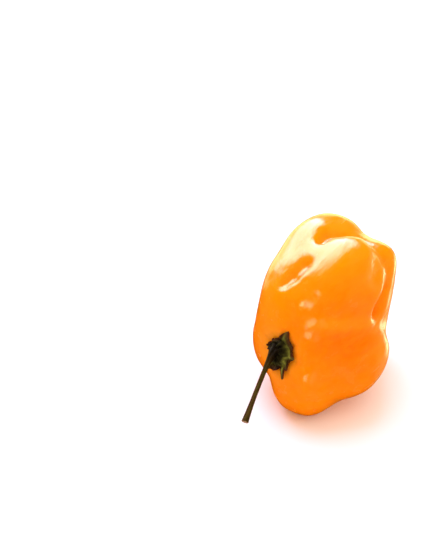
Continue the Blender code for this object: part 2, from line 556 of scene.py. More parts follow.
@dataclass(frozen=True)
class SkinFinish(Finish):
    """Glossy waxy skin with fine streaks, specks and a dry scar.

    It is painted more golden on the side toward the key light, which is painted light, and painted redder and
    darker, which is painted shade, in one soft patch on the side away from that light and in the crown
    furrows.
    """

    # golden is the skin's own tone in patches and streaks, and also painted light on the side toward the key
    # light
    golden: Colour = (1.0, 0.295, 0.0006)
    orange: Colour = (1.0, 0.245, 0.0004)
    # Painted shade colour for the patch on the side away from the key light.
    painted_shade: Colour = (1.0, 0.14, 0.0002)
    # Painted shade colour for the crown furrows.
    furrow_shade: Colour = (1.0, 0.12, 0.0002)
    pale: Colour = (1.0, 0.42, 0.04)
    green: Colour = (0.62, 0.42, 0.03)
    scar: Colour = (0.34, 0.15, 0.02)
    painted_light_share: float = 0.75
    patch_share: float = 0.25
    painted_shade_strength: float = 0.85
    streak_strength: float = 0.22
    furrow_shade_strength: float = 0.2
    speck_strength: float = 0.28
    stem_strength: float = 0.35
    lengthways: Point = (1.0, 0.16, 1.0)
    patches: Cloud = Cloud(0.075, 3.0, 0.5, 0.35, 0.68)
    streaks: Cloud = Cloud(0.9, 4.0, 0.6, 0.35, 0.7)
    shine: Cloud = Cloud(0.35, 4.0, 0.6, 0.3, 0.7, 0.12, 0.3)
    specks: Specks = Specks(0.85, 0.13, 0.05)
    scar_dullness: float = 0.4
    swells: Grain = Grain(0.8, 3.0, 0.5, 0.17 * MM)
    pore_scale: float = 5.0
    pore_depth: float = 0.012 * MM
    speck_depth: float = 0.012 * MM

    def material(self) -> bpy.types.Material:
        """Lay out the skin's shader.

        Returns:
            The skin's material.
        """
        sheet = FinishSheet("waxy_orange_skin")
        place, along = sheet.place(), sheet.place(self.lengthways)
        patches = sheet.times(sheet.cloud(place, self.patches), self.patch_share)
        # Painted light: the skin is painted more golden on the side toward the key light, over random
        # patches.
        golden = sheet.plus(sheet.times(sheet.mark("painted_light"), self.painted_light_share), patches)
        specks = sheet.specks(place, self.specks)
        colour = sheet.blend(golden, self.orange, self.golden)
        # Painted shade: one patch on the side away from the key light is painted redder and darker.
        colour = sheet.tint(colour, sheet.mark("painted_shade"), self.painted_shade_strength, self.painted_shade)
        colour = sheet.tint(colour, sheet.cloud(along, self.streaks), self.streak_strength, self.golden)
        # Painted shade: the crown furrows are painted deeper and darker orange.
        colour = sheet.tint(colour, sheet.mark("furrow"), self.furrow_shade_strength, self.furrow_shade)
        colour = sheet.tint(colour, specks, self.speck_strength, self.pale)
        colour = sheet.tint(colour, sheet.mark("stem"), self.stem_strength, self.green)
        colour = sheet.blend(sheet.mark("scar"), colour, self.scar)
        scar_dullness = sheet.times(sheet.mark("scar"), self.scar_dullness)
        roughness = sheet.plus(sheet.cloud(along, self.shine), scar_dullness)
        bumps = sheet.relief(sheet.noise(along, self.swells), self.swells.depth)
        bumps = sheet.relief(sheet.cells(place, self.pore_scale, "SMOOTH_F1"), self.pore_depth, bumps)
        bumps = sheet.relief(specks, self.speck_depth, bumps)
        return sheet.set(
            Base_Color=colour, Roughness=roughness, Normal=bumps, IOR=1.45, Subsurface_Weight=0.25,
            Subsurface_Radius=(1.0, 0.35, 0.08), Subsurface_Scale=2.5 * MM, Specular_Tint=(1.0, 0.85, 0.3),
            Coat_Weight=0.3, Coat_Roughness=0.07)


@dataclass(frozen=True)
class CalyxFinish(Finish):
    """Dry leathery green with a fresh green band, brown edges, raised veins and small dark flecks, and a core
    painted near-black as shade round the stalk.
    """

    green: Colour = (0.034, 0.034, 0.003)
    bright: Colour = (0.30, 0.33, 0.05)
    dark: Colour = (0.003, 0.0024, 0.0014)
    brown: Colour = (0.080, 0.018, 0.006)
    # Painted shade: how dark the core round the stalk is painted.
    shaded_core_strength: float = 0.85
    fleck_strength: float = 0.6
    patches: Cloud = Cloud(0.45, 4.0, 0.6, 0.38, 0.64)
    fresh: Cloud = Cloud(0.22, 1.0, 0.5, 0.44, 0.62, 0.10, 0.6)
    band: Cloud = Cloud(1.1, 2.0, 0.5, 0.3, 0.6, 0.45, 0.95)
    dry: Cloud = Cloud(0.9, 3.0, 0.5, 0.3, 0.7, 0.4, 1.0)
    flecks: Specks = Specks(2.6, 0.24, 0.10)
    roughness: Range = (0.62, 0.45)
    leather: Grain = Grain(3.5, 4.0, 0.65, 0.10 * MM)

    def material(self) -> bpy.types.Material:
        """Lay out the calyx's shader.

        Returns:
            The calyx's material.
        """
        sheet = FinishSheet("dry_green_calyx")
        place = sheet.place()
        patches = sheet.cloud(place, self.patches)
        colour = sheet.blend(patches, self.dark, self.green)
        for mark, cloud, other in (("vein", self.fresh, self.bright), ("band", self.band, self.bright),
                                   ("edge", self.dry, self.brown)):
            colour = sheet.blend(sheet.times(sheet.mark(mark), sheet.cloud(place, cloud)), colour, other)
        # Painted shade: the core round the stalk is painted near-black where the stalk meets the calyx.
        colour = sheet.tint(colour, sheet.mark("shaded_core"), self.shaded_core_strength, self.dark)
        colour = sheet.tint(colour, sheet.specks(place, self.flecks), self.fleck_strength, self.dark)
        bumps = sheet.relief(sheet.noise(place, self.leather), self.leather.depth)
        roughness = sheet.span(patches, 0, 1, *self.roughness)
        return sheet.set(Base_Color=colour, Roughness=roughness, Normal=bumps, Specular_IOR_Level=0.10,
                         Specular_Tint=(1.0, 0.75, 0.45))


@dataclass(frozen=True)
class StalkFinish(Finish):
    """Brown-green stem with long fibres, a root painted dark as shade where it leaves the calyx, and a pale
    dry cut end.
    """

    green: Colour = (0.032, 0.028, 0.002)
    brown: Colour = (0.036, 0.017, 0.002)
    # dark is the painted shade colour for the root.
    dark: Colour = (0.003, 0.0022, 0.0006)
    pale: Colour = (0.12, 0.07, 0.008)
    pith: Colour = (0.30, 0.19, 0.09)
    fibre_strength: float = 0.4
    groove_strength: float = 0.55
    lengthways: Point = (1.0, 0.12, 0.35)
    fibres: Cloud = Cloud(2.2, 4.0, 0.65, 0.35, 0.65)
    patches: Cloud = Cloud(0.4, 3.0, 0.5, 0.35, 0.65)
    roughness: Range = (0.7, 0.5)
    fibre_depth: float = 0.06 * MM
    bark: Grain = Grain(5.0, 3.0, 0.6, 0.05 * MM)

    def material(self) -> bpy.types.Material:
        """Lay out the stalk's shader.

        Returns:
            The stalk's material.
        """
        sheet = FinishSheet("fibrous_stalk")
        place = sheet.place()
        fibres = sheet.cloud(sheet.place(self.lengthways), self.fibres)
        colour = sheet.blend(sheet.cloud(place, self.patches), self.green, self.brown)
        colour = sheet.tint(colour, fibres, self.fibre_strength, self.pale)
        colour = sheet.tint(colour, sheet.mark("groove"), self.groove_strength, self.brown)
        # Painted shade: the root is painted near-black where it leaves the calyx.
        colour = sheet.blend(sheet.mark("root"), colour, self.dark)
        colour = sheet.blend(sheet.mark("cut"), colour, self.pith)
        bumps = sheet.relief(fibres, self.fibre_depth)
        bumps = sheet.relief(sheet.noise(place, self.bark), self.bark.depth, bumps)
        roughness = sheet.span(fibres, 0, 1, *self.roughness)
        return sheet.set(Base_Color=colour, Roughness=roughness, Normal=bumps, Specular_IOR_Level=0.12,
                         Specular_Tint=(1.0, 0.75, 0.45))


@dataclass(frozen=True)
class FloorFinish(Finish):
    """Plain matt white studio surface."""

    white: Colour = (0.90, 0.90, 0.90)

    def material(self) -> bpy.types.Material:
        """The floor's material."""
        sheet = FinishSheet("white_surface")
        return sheet.set(Base_Color=self.white, Roughness=0.6, Specular_IOR_Level=0.2)


# ---- Pieces ----


def fade(values: np.ndarray, low: float, high: float) -> np.ndarray:
    """0 below low and 1 above high, with a smooth step between.

    Args:
        values: the numbers to place.
        low: where the step starts.
        high: where the step ends.

    Returns:
        One number for each value.
    """
    share = np.clip((values - low) / (high - low), 0, 1)
    return share * share * (3 - 2 * share)


def bell(off: float, width: float) -> float:
    """1 where off is 0, falling to 0 well past a width."""
    return math.exp(-(off / width) ** 2)


@dataclass(frozen=True)
class Lumps:
    """Smooth noise through space: its height, its cycles to the millimetre along X, Y and Z, and its seed."""

    height: float
    stretch: Point
    seed: float

    def at(self, points: np.ndarray) -> np.ndarray:
        """The noise at each point, from about minus its height to its height.

        Args:
            points: places in metres, one a row.

        Returns:
            One number for each point.
        """
        scaled = points / MM * np.array(self.stretch) + self.seed
        return self.height * np.array([noise.noise(Vector(place)) for place in scaled])


@dataclass(frozen=True)
class Wave:
    """A ripple round the stalk: its height, how many waves make a turn, and its phase."""

    height: float
    count: int
    phase: float = 0.0

    def at(self, angle: float) -> float:
        """The ripple's height in one direction."""
        return self.height * math.sin(self.count * angle + self.phase)


@dataclass
class Piece(ABC):
    """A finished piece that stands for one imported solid."""

    node: Node
    slot: Slot
    finish: Finish
    form: PodForm = PodForm()

    @abstractmethod
    def build(self) -> bpy.types.Mesh:
        """The piece's mesh in the frame's own coordinates, with the marks that its finish reads."""

    def make(self) -> bpy.types.Object:
        """Build and dress the piece, and put it into the scene in place of its solid.

        Returns:
            The new object, riding on the root body.
        """
        mesh = self.build()
        mesh.shade_smooth()
        mesh.materials.append(self.finish.material())
        piece = bpy.data.objects.new(f"{self.node.value}_finished", mesh)
        bpy.context.scene.collection.objects.link(piece)
        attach(piece, "root")
        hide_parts(self.node.value)
        return piece


def paint(mesh: bpy.types.Mesh, name: str, values: Iterable[float]) -> None:
    """Store one number for each point of a mesh, for its finish to read.

    Args:
        mesh: the mesh to mark.
        name: the mark's name.
        values: one number for each point, in order.
    """
    mark = mesh.attributes.new(name, "FLOAT", "POINT")
    mark.data.foreach_set("value", np.array(list(values), dtype=np.float32))


@dataclass
class PodPiece(Piece):
    """The fruit, with the small dents, ribs and puckers of grown skin on the solid's own form.

    Its marks are its furrows, for painted shade, its stem end, its scar, its side toward the key light, for
    painted light, and a redder patch of painted shade on the side away from that light, lifted along a line
    that crosses it. The first few of the form's furrows, those of the crown, are marked.
    """

    node: Node = Node.POD
    slot: Slot = Slot.SKIN
    finish: Finish = SkinFinish()
    squares: int = 124
    ribs: Lumps = Lumps(0.16 * MM, (0.16, 0.035, 0.16), 1.0)
    ripples: Lumps = Lumps(0.07 * MM, (0.42, 0.12, 0.42), 2.0)
    puckers: int = 9
    pucker_depth: float = 0.21 * MM
    pucker_change: float = 0.14 * MM
    pucker_sides: int = 2
    pucker_turn: float = 1.0
    pucker_sharpness: float = 1.5
    pucker_start: Range = (2.0 * MM, 4.5 * MM)
    pucker_end: Range = (5.0 * MM, 9.5 * MM)
    dents: int = 46
    dent_depth: float = 0.22 * MM
    dent_shares: Range = (0.25, 1.0)
    dent_signs: tuple[float, ...] = (1.0, 1.0, -0.6)
    dent_radii: Range = (1.3, 3.6)
    dent_stretch: Range = (1.0, 2.4)
    scar_place: Point = (1.0, 23.0, 0.0)
    scar_radius: float = 0.9 * MM
    scar_edge: Range = (0.7, 1.15)
    scar_height: float = 0.35 * MM
    scar_level: float = 0.7
    scar_crust: Lumps = Lumps(0.6, (1.6, 1.6, 1.6), 6.0)
    scar_outline: Lumps = Lumps(0.25, (1.1, 1.1, 1.1), 9.0)
    crown_furrows: int = 5
    stem_reach: Range = (3.5 * MM, 8.5 * MM)
    # Painted light: the skin turns golden toward this direction, close to the key light's, over this span of
    # distances.
    painted_light_toward: Point = (-0.55, 0.15, 0.82)
    painted_light_from: Range = (-4 * MM, 19 * MM)
    # Painted shade: a redder, darker patch on the side away from the key light, lifted along the line below.
    painted_shade_place: Point = (12.4, -9.0, 3.5)
    painted_shade_radius: float = 12.5 * MM
    unshaded_share: float = 0.9
    unshaded_line: Furrow = Furrow(0.0, 2.6, ((5.2, -15.8, 8.4), (9.5, -12.9, 7.7), (11.5, -9.9, 6.9),
                                            (13.2, -5.5, 5.2), (14.1, 0.0, 3.5)))
    seed: int = 7

    def rays(self) -> tuple[np.ndarray, list[list[int]]]:
        """Spread rays evenly on the six sides of a cube.

        Returns:
            The unit rays, one a row, and the squares that join them, each as four of their numbers.
        """
        mesh = bmesh.new()
        bmesh.ops.create_cube(mesh, size=2.0)
        bmesh.ops.subdivide_edges(mesh, edges=mesh.edges, cuts=self.squares - 1, use_grid_fill=True)
        mesh.verts.index_update()
        cube = np.tan(np.array([vert.co for vert in mesh.verts]) * math.pi / 4)
        faces = [[vert.index for vert in face.verts] for face in mesh.faces]
        mesh.free()
        return cube / np.linalg.norm(cube, axis=1, keepdims=True), faces

    def pucker_dip(self, points: np.ndarray) -> np.ndarray:
        """Folds that run in to the stalk, deepest on some of its sides and a little way out from the calyx.

        Args:
            points: places on the plain form in metres from the pod's middle, one a row.

        Returns:
            How far the skin sinks at each point, in metres.
        """
        x, z = self.form.hollow_middle
        angle = np.arctan2(points[:, 2] - z, points[:, 0] - x)
        off_stem = self.form.off_stem(points)
        depth = self.pucker_depth + self.pucker_change * np.sin(angle * self.pucker_sides + self.pucker_turn)
        fold = depth * (1 - np.abs(np.sin(angle * self.puckers / 2))) ** self.pucker_sharpness
        reach = fade(off_stem, *self.pucker_start) * (1 - fade(off_stem, *self.pucker_end))
        return np.where(points[:, 1] < 0, fold * reach, 0)

    def dent_dip(self, points: np.ndarray) -> np.ndarray:
        """Small shallow dents and a few low bumps, longer along the pod, at seeded places.

        Args:
            points: places on the plain form in metres from the pod's middle, one a row.

        Returns:
            How far the skin sinks at each point, in metres.
        """
        draw = np.random.default_rng(self.seed)
        dip = np.zeros(len(points))
        for _ in range(self.dents):
            ray = draw.normal(size=3)
            middle = self.form.skin((ray / np.linalg.norm(ray))[None, :])[0]
            radius = draw.uniform(*self.dent_radii) * MM
            depth = draw.uniform(*self.dent_shares) * self.dent_depth * draw.choice(self.dent_signs)
            off = (points - middle) / np.array((radius, radius * draw.uniform(*self.dent_stretch), radius))
            dip += depth * np.exp(-(off ** 2).sum(axis=1))
        return dip

    def scar_share(self, points: np.ndarray) -> np.ndarray:
        """How much each point is on the dry scar at the blossom end.

        Args:
            points: places on the plain form in metres from the pod's middle, one a row.

        Returns:
            1 on the scar and 0 off it, with a ragged edge.
        """
        off = np.linalg.norm((points - np.array(self.scar_place) * MM)[:, (0, 2)], axis=1)
        ragged = off * (1 + self.scar_outline.at(points))
        start, end = self.scar_edge
        share = 1 - fade(ragged, start * self.scar_radius, end * self.scar_radius)
        return np.where(points[:, 1] > 0, share, 0)

    def surface(self, rays: np.ndarray) -> tuple[np.ndarray, np.ndarray]:
        """The finished skin along each ray, pressed flat where it lies.

        Args:
            rays: unit directions from the pod's middle, one a row.

        Returns:
            The plain form's points from the pod's middle, and the finished points in the frame.
        """
        lengths = self.form.lengths(rays)
        points = rays * lengths[:, None]
        lengths += self.ribs.at(points) + self.ripples.at(points)
        lengths -= self.pucker_dip(points) + self.dent_dip(points)
        crust = self.scar_level + self.scar_crust.at(points)
        lengths += self.scar_height * self.scar_share(points) * crust
        finished = rays * lengths[:, None]
        finished[:, 2] = np.maximum(finished[:, 2] + self.form.height, 0.0)
        return points, finished

    def painted_shade(self, points: np.ndarray) -> np.ndarray:
        """How much painted shade each point has: redder and darker in one soft patch on the side away from
        the key light, lifted along the line that crosses it.

        Args:
            points: places on the plain form in metres from the pod's middle, one a row.

        Returns:
            1 in the middle of the patch, and 0 far off it.
        """
        off_patch = np.linalg.norm(points - np.array(self.painted_shade_place) * MM, axis=1)
        # Less painted shade along the line that crosses the patch.
        off_line = 1 - self.unshaded_share * np.clip(self.unshaded_line.nearness(points), 0, 1) ** 2
        return np.exp(-(off_patch / self.painted_shade_radius) ** 2) * off_line

    def build(self) -> bpy.types.Mesh:
        """Build the skin, and mark it.

        Returns:
            The pod's mesh.
        """
        rays, faces = self.rays()
        points, finished = self.surface(rays)
        mesh = bpy.data.meshes.new("pod_finished")
        mesh.from_pydata(finished.tolist(), [], faces)
        mesh.validate()
        # Painted shade: the crown furrows are marked to be painted darker.
        crown = self.form.furrows[:self.crown_furrows]
        furrows = sum(np.clip(furrow.nearness(points), 0, 1) for furrow in crown)
        off_stem = self.form.off_stem(points)
        paint(mesh, "furrow", np.clip(furrows, 0, 1))
        paint(mesh, "stem", np.where(points[:, 1] < 0, 1 - fade(off_stem, *self.stem_reach), 0))
        paint(mesh, "scar", self.scar_share(points))
        # Painted light: more golden on the side toward the key light.
        paint(mesh, "painted_light", fade(points @ np.array(self.painted_light_toward), *self.painted_light_from))
        # Painted shade on the side away from the key light.
        paint(mesh, "painted_shade", self.painted_shade(points))
        return mesh


@dataclass(frozen=True)
class Tooth:
    """One pointed tooth of the calyx.

    Its direction and its half width are in degrees, its length and its curl off the skin in millimetres.
    """

    direction: float
    length: float
    half_width: float
    curl: float

    def share(self, angle: float) -> float:
        """1 along the tooth's middle, falling to 0 at its sides."""
        off = abs((math.degrees(angle) - self.direction + 180) % 360 - 180)
        return max(0.0, 1 - off / self.half_width)


@dataclass(frozen=True)
class Ring:
    """A low ring round the stalk: its height, its radius as a share of the knob's, and its width."""

    height: float
    place: float
    width: float

    def at(self, off: float, knob_radius: float) -> float:
        """The ring's height at a distance from the stalk's axis."""
        return self.height * bell(off - self.place * knob_radius, self.width)


@dataclass
class CalyxPiece(Piece):
    """The green cap: a ringed, fluted knob round the stalk, raised veins, and a thin nicked rim that curls.

    Each direction round the stalk is an angle in radians, and each place in it a share of the way from the
    stalk's axis to the rim. A main vein runs to each tooth, with fine ones between. The top is a little
    uneven, like leather, by noise taken at the leather distance from the pod's middle. The marks are the
    veins, the dry edge, the core round the stalk, painted near-black as shade, and the fresh green band on
    the side away from the stalk.
    """

    node: Node = Node.CALYX
    slot: Slot = Slot.CALYX
    finish: Finish = CalyxFinish()
    radius: float = 3.4 * MM
    pinhole: float = 0.12 * MM
    rim: float = 0.32 * MM
    thickness: float = 1.0 * MM
    clearance: float = 0.12 * MM
    spokes: int = 252
    rings: int = 44
    teeth: tuple[Tooth, ...] = (
        Tooth(72, 3.2, 30, 0.3), Tooth(42, 2.0, 34, 0.1), Tooth(6, 2.0, 32, 0.3),
        Tooth(330, 1.2, 24, 0.2), Tooth(312, 2.4, 13, 0.6), Tooth(276, 0.9, 30, 0.3),
        Tooth(252, 1.6, 24, 0.3), Tooth(180, 0.4, 30, 0.2),
    )
    tooth_sharpness: float = 1.5
    nicks: tuple[Wave, ...] = (Wave(0.10 * MM, 11, 1.0), Wave(0.07 * MM, 23), Wave(0.05 * MM, 37, 2.0))
    knob_radius: float = 2.6 * MM
    knob_height: float = 1.5 * MM
    knob_power: int = 4
    groove: Ring = Ring(-0.45 * MM, 1.3, 0.32 * MM)
    bead: Ring = Ring(0.20 * MM, 1.0, 0.30 * MM)
    fluted: Ring = Ring(0.10 * MM, 0.75, 0.8 * MM)
    flutes: Wave = Wave(1.0, 10, 1.0)
    vein_height: float = 0.34 * MM
    vein_width: float = 3.4
    vein_start: float = 1 / 3
    vein_loss: float = 0.5
    fine_veins: int = 15
    fine_vein_share: float = 0.45
    fine_vein_width: float = 1 / 2.2
    fine_vein_sway: Wave = Wave(0.8, 4)
    rim_lift: float = 0.26 * MM
    rim_waves: tuple[Wave, ...] = (Wave(0.12 * MM, 9, 0.5), Wave(0.06 * MM, 19))
    curl_power: int = 5
    leather: Lumps = Lumps(0.16 * MM, (0.9, 0.9, 0.9), 3.0)
    leather_distance: float = 20 * MM
    dry_edge: float = 0.72
    # Painted shade fades out over this span of distances from the stalk's axis.
    shaded_core_range: Range = (1.9 * MM, 3.7 * MM)
    band_side: float = -0.1
    band_spread: float = 1.6
    band_place: float = 0.71
    band_width: float = 0.10
    band_sway: Wave = Wave(0.04, 5)

    def reach(self, angle: float) -> float:
        """Distance from the stalk's axis to the rim in one direction."""
        teeth = (tooth.length * MM * tooth.share(angle) ** self.tooth_sharpness for tooth in self.teeth)
        return self.radius + sum(nick.at(angle) for nick in self.nicks) + sum(teeth)

    def vein(self, angle: float, share: float) -> float:
        """How much a place is on a vein.

        Args:
            angle: its direction.
            share: its share of the way to the rim.

        Returns:
            Up to 1 on the veins, less toward the rim, and 0 off them.
        """
        off_main = ((1 - tooth.share(angle)) * tooth.half_width * share for tooth in self.teeth)
        main = max(bell(off, self.vein_width) for off in off_main)
        off_fine = math.sin(self.fine_veins * angle + self.fine_vein_sway.at(angle))
        fine = self.fine_vein_share * bell(off_fine, self.fine_vein_width)
        return max(main, fine) * min(1.0, share / self.vein_start) * (1 - self.vein_loss * share)

    def band(self, angle: float, share: float) -> float:
        """How much a place is on the fresh green band.

        Args:
            angle: its direction.
            share: its share of the way to the rim.

        Returns:
            Up to 1 on the band, and 0 off it.
        """
        facing = max(0.0, math.cos(angle - self.band_side)) ** self.band_spread
        return facing * bell(share - self.band_place - self.band_sway.at(angle), self.band_width)

    def curl(self, angle: float, share: float) -> float:
        """How far the rim lifts off the skin, most at the tips of the teeth.

        Args:
            angle: the direction.
            share: the share of the way to the rim.

        Returns:
            The lift in metres.
        """
        teeth = sum(tooth.curl * MM * tooth.share(angle) for tooth in self.teeth)
        waves = sum(wave.at(angle) for wave in self.rim_waves)
        return (self.rim_lift + waves + teeth) * share ** self.curl_power

    def height(self, angle: float, share: float) -> float:
        """Thickness of the calyx at one place.

        Args:
            angle: its direction.
            share: its share of the way to the rim.

        Returns:
            The thickness in metres.
        """
        off = share * self.reach(angle)
        cap = self.rim + (self.thickness - self.rim) * (1 - share ** 2)
        knob = self.knob_height * math.exp(-(off / self.knob_radius) ** self.knob_power)
        rings = self.groove.at(off, self.knob_radius) + self.bead.at(off, self.knob_radius)
        flutes = self.fluted.at(off, self.knob_radius) * self.flutes.at(angle)
        return cap + knob + rings + flutes + self.vein_height * self.vein(angle, share)

    def build(self) -> bpy.types.Mesh:
        """Build an underside that follows the skin and a top over it, and mark them.

        Returns:
            The calyx's mesh.
        """
        seat = Seat.on(self.form)
        shares = [n / (self.rings - 1) for n in range(self.rings)]
        layers = [(share, False) for share in shares] + [(share, True) for share in reversed(shares)]
        rays, lifts, tops = [], [], []
        marks: dict[str, list[float]] = {"vein": [], "edge": [], "shaded_core": [], "band": []}
        for share, top in layers:
            for spoke in range(self.spokes):
                angle = 2 * math.pi * spoke / self.spokes
                off = max(share * self.reach(angle), self.pinhole)
                flat = seat.middle + (seat.across * math.cos(angle) + seat.upward * math.sin(angle)) * off
                thickness = self.height(angle, share) if top else 0
                rays.append(flat.normalized())
                lifts.append(self.clearance + self.curl(angle, share) + thickness)
                tops.append(top)
                marks["vein"].append(self.vein(angle, share))
                marks["edge"].append(max(0.0, share - self.dry_edge) / (1 - self.dry_edge))
                # Painted shade near the stalk.
                marks["shaded_core"].append(1 - float(fade(off, *self.shaded_core_range)))
                marks["band"].append(self.band(angle, share))
        leather = self.leather.at(np.array(rays) * self.leather_distance)
        heights = np.array(lifts) + np.where(tops, leather, 0)
        skins = self.form.skin(np.array(rays)) + np.array((0, 0, self.form.height))
        places = [Vector(skin) + seat.axis * height for skin, height in zip(skins, heights)]
        mesh = tube_mesh("calyx_finished", places, self.spokes)
        for name, values in marks.items():
            paint(mesh, name, values)
        return mesh


def tube_mesh(name: str, places: Sequence[Vector], sides: int) -> bpy.types.Mesh:
    """A closed mesh from equal rings of points, one after another, with a cap at each end.

    Args:
        name: the mesh's name.
        places: the points, ring after ring.
        sides: how many points each ring has.

    Returns:
        The mesh, with its faces turned outwards.
    """
    mesh = bmesh.new()
    verts = [mesh.verts.new(place) for place in places]
    rings = [verts[n:n + sides] for n in range(0, len(verts), sides)]
    for ring, following in zip(rings, rings[1:]):
        for n in range(sides):
            after = (n + 1) % sides
            mesh.faces.new((ring[n], ring[after], following[after], following[n]))
    mesh.faces.new(rings[0])
    mesh.faces.new(rings[-1])
    bmesh.ops.recalc_face_normals(mesh, faces=mesh.faces)
    data = bpy.data.meshes.new(name)
    mesh.to_mesh(data)
    mesh.free()
    return data


@dataclass(frozen=True)
class Unevenness:
    """Unevenness of the stem: its height, and how finely it changes round the stem and along it."""

    height: float
    around: float
    along: float

    def at(self, angle: float, share: float, spread: float = 1.0) -> float:
        """How uneven the stem is at one place.

        Args:
            angle: its direction round the stem.
            share: its share of the stem's length.
            spread: its share of the way from the stem's axis to its side.

        Returns:
            From about minus the height to the height.
        """
        x, y = math.cos(angle) * self.around * spread, math.sin(angle) * self.around * spread
        return self.height * noise.noise(Vector((x, y, share * self.along)))


@dataclass
class StalkPiece(Piece):
    """The cut stem: ribbed and slightly twisted, flared into the calyx, with a swollen ragged cut end.

    It rises from the calyx by its rise, leaning off the calyx's axis by its lean, and its cross-section turns
    from flat on the calyx to square on the stem over the share of its length called its turn. Its marks are
    its grooves, its cut end and its root, which is painted dark as shade where it leaves the calyx, over the
    share of its length called its root reach.
    """

    node: Node = Node.STALK
    slot: Slot = Slot.STALK
    finish: Finish = StalkFinish()
    root_radius: float = 1.7 * MM
    waist_radius: float = 0.54 * MM
    tip_radius: float = 0.82 * MM
    root_power: int = 5
    tip_power: int = 10
    end: Vector = field(default_factory=lambda: Vector((0.0, -36.5, -10.0)) * MM)
    rise: float = 3.0 * MM
    lean: Vector = field(default_factory=lambda: Vector((0.2, 0.0, -0.7)))
    turn: float = 0.25
    foot: float = 3.1 * MM
    sink: float = 0.35 * MM
    ribs: int = 5
    rib_depth: float = 0.10
    twist: float = 0.7
    grain: Unevenness = Unevenness(0.07, 2.2, 7.0)
    knots: Unevenness = Unevenness(0.05, 1.1, 22.0)
    torn: Unevenness = Unevenness(0.16 * MM, 3.0, 5.0)
    cut_dish: float = 0.22 * MM
    # Painted shade along the root, over these shares of the length.
    root_shade_reach: float = 0.4
    root_shade_start: float = 1.3
    root_shade_most: float = 0.96
    sides: int = 80
    rings: int = 170
    cap_rings: int = 10
    cap_pinhole: float = 0.4

    def radius(self, share: float) -> float:
        """Radius at a share of the length from the calyx."""
        root = (self.root_radius - self.waist_radius) * (1 - share) ** self.root_power
        return self.waist_radius + root + (self.tip_radius - self.waist_radius) * share ** self.tip_power

    def spine(self) -> Callable[[float], tuple[Vector, Vector]]:
        """The stalk's middle line.

        Returns:
            A call that gives the place and the direction at a share of its length.
        """
        seat = Seat.on(self.form)
        lift = Vector((0, 0, self.form.height))
        root = seat.middle + seat.axis * (self.foot - self.sink) + lift
        bend = root + (seat.axis + self.lean).normalized() * (self.rise + self.sink)
        end = self.end + lift

        def at(share: float) -> tuple[Vector, Vector]:
            """Follow the middle line.

            Args:
                share: the share of its length.

            Returns:
                The place and the direction there.
            """
            place = root * (1 - share) ** 2 + bend * 2 * share * (1 - share) + end * share ** 2
            along = ((bend - root) * (1 - share) + (end - bend) * share).normalized()
            return place, seat.axis.lerp(along, min(1.0, share / self.turn)).normalized()

        return at

    def build(self) -> bpy.types.Mesh:
        """Build rings along the stem and smaller ones over its cut end, and mark them.

        Returns:
            The stalk's mesh.
        """
        at = self.spine()
        steps = [(n / (self.rings - 1), 1.0) for n in range(self.rings)]
        steps += [(1.0, 1 - n / (self.cap_rings + self.cap_pinhole)) for n in range(1, self.cap_rings + 1)]
        places = []
        marks: dict[str, list[float]] = {"groove": [], "cut": [], "root": []}
        for share, spread in steps:
            middle, along = at(share)
            side = along.cross(Vector(UP)).normalized()
            top = side.cross(along)
            for k in range(self.sides):
                angle = 2 * math.pi * k / self.sides
                rib = math.cos(self.ribs * (angle + self.twist * share))
                uneven = self.rib_depth * rib + self.grain.at(angle, share) + self.knots.at(angle, share)
                radius = self.radius(share) * (1 + uneven) * spread
                raised = 0.0
                if share == 1.0:
                    raised = self.torn.at(angle, share, spread) - self.cut_dish * (1 - spread) ** 2
                outward = side * math.cos(angle) + top * math.sin(angle)
                places.append(middle + outward * radius + along * raised)
                marks["groove"].append(max(0.0, -rib))
                marks["cut"].append(1.0 if spread < 1 else 0.0)
                # Painted shade along the root.
                marks["root"].append(min(self.root_shade_most, max(0.0, self.root_shade_start - share / self.root_shade_reach)))
        mesh = tube_mesh("stalk_finished", places, self.sides)
        for name, values in marks.items():
            paint(mesh, name, values)
        return mesh


# ---- Studio ----


@dataclass(frozen=True)
class Softbox:
    """One large soft light, far off: the direction to it, its width in degrees, its power and its colour."""

    name: str
    direction: Point
    width: float
    power: float
    colour: Colour

    def make(self) -> bpy.types.Object:
        """Hang the light, kept out of the shine, which shows the room's panels.

        Returns:
            The light's object.
        """
        light = bpy.data.lights.new(self.name, "SUN")
        light.angle = math.radians(self.width)
        light.energy = self.power
        light.color = self.colour
        lamp = bpy.data.objects.new(self.name, light)
        bpy.context.scene.collection.objects.link(lamp)
        lamp.location = Vector(self.direction).normalized()
        lamp.rotation_mode = "QUATERNION"
        lamp.rotation_quaternion = (-Vector(self.direction)).to_track_quat("-Z", "Y")
        lamp.visible_glossy = False
        return lamp


